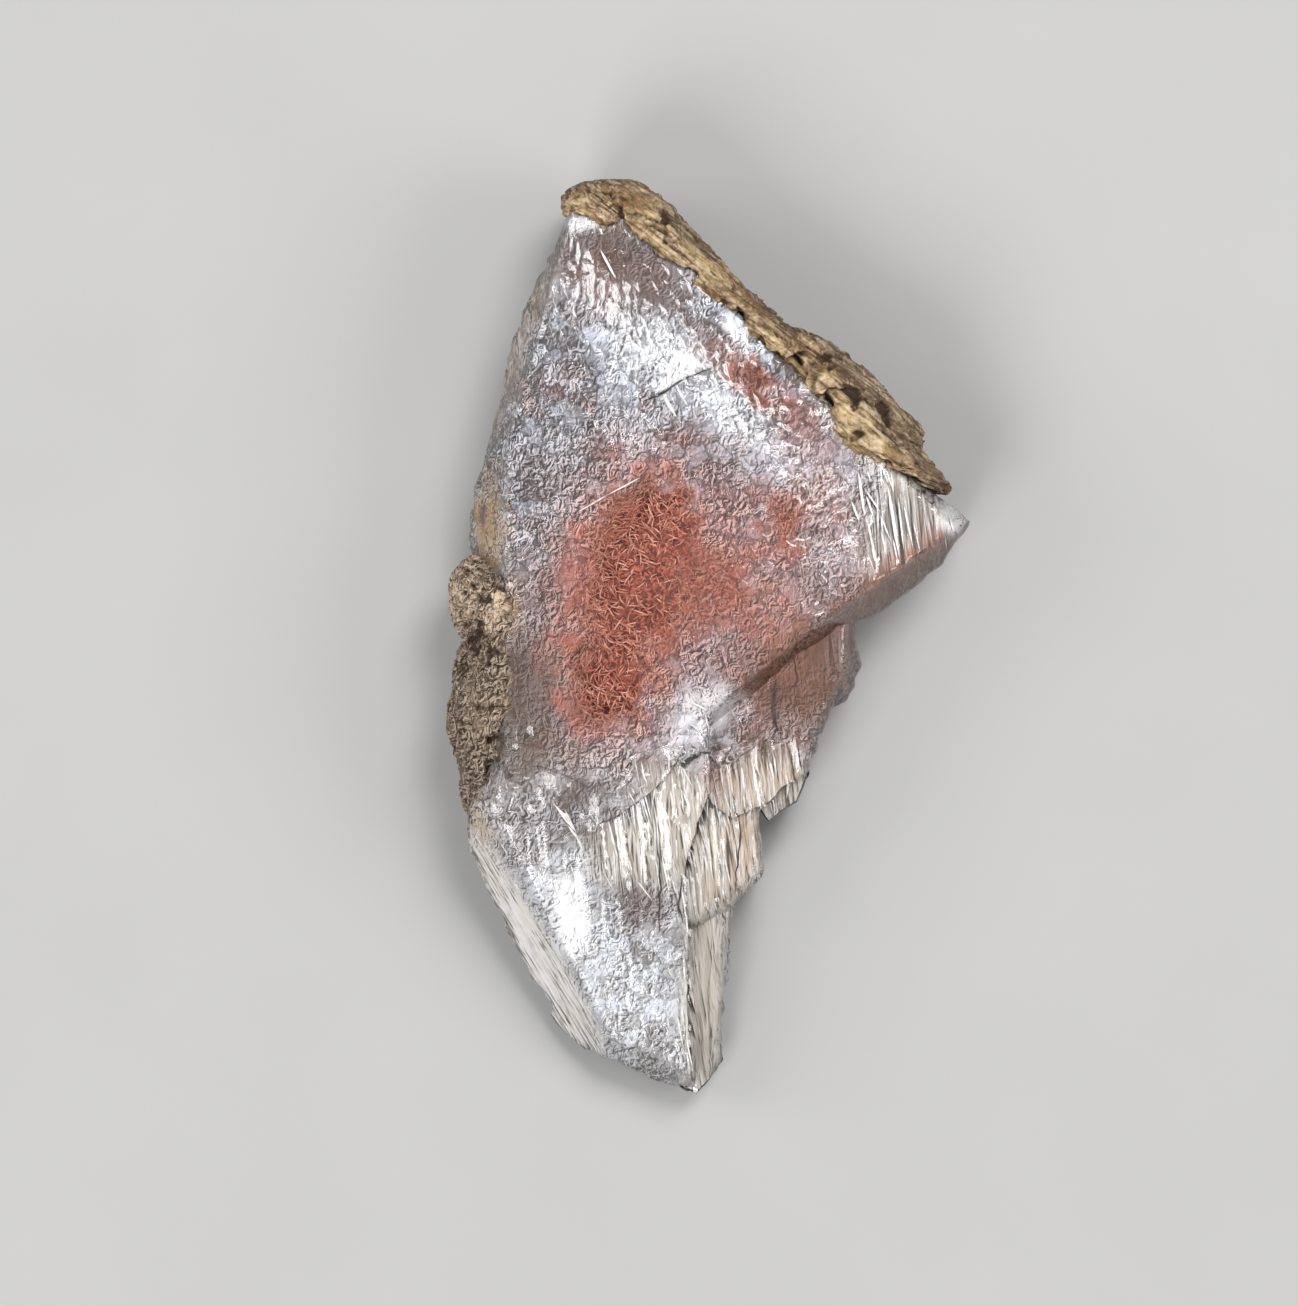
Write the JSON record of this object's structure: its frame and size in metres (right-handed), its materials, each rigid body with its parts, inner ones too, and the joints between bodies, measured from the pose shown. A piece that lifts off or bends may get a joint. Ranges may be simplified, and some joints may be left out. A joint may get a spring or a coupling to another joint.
{
  "type": "native copper in selenite specimen",
  "caption": "Clear gypsum cleavage blade enclosing felts of native copper wire, with iron-stained matrix on its edges; lies flat on its cleavage back.",
  "frame": {"origin": "on the surface it lies on, under the middle of its plan", "axes": "+Y up the blade to its blunt end, +Z out of its broad front, +X to the right seen from the front"},
  "size_m": [0.0344, 0.0601, 0.0118],
  "materials": {
    "selenite": "clear to cloudy gypsum, silky cleavage, etched and striated",
    "copper": "felt of fine native copper wire, orange red, dull metallic",
    "matrix_ochre": "rough iron-stained rind, ochre to tan, pitted",
    "matrix_brown": "granular brown-grey crust with ochre spots"
  },
  "bodies": {
    "root": {"selenite_front": "selenite", "selenite_back": "selenite", "copper_felt_main": "copper", "copper_felt_upper": "copper", "copper_felt_ledge": "copper", "matrix_rind": "matrix_ochre", "matrix_crust": "matrix_brown"}
  },
  "joints": []
}
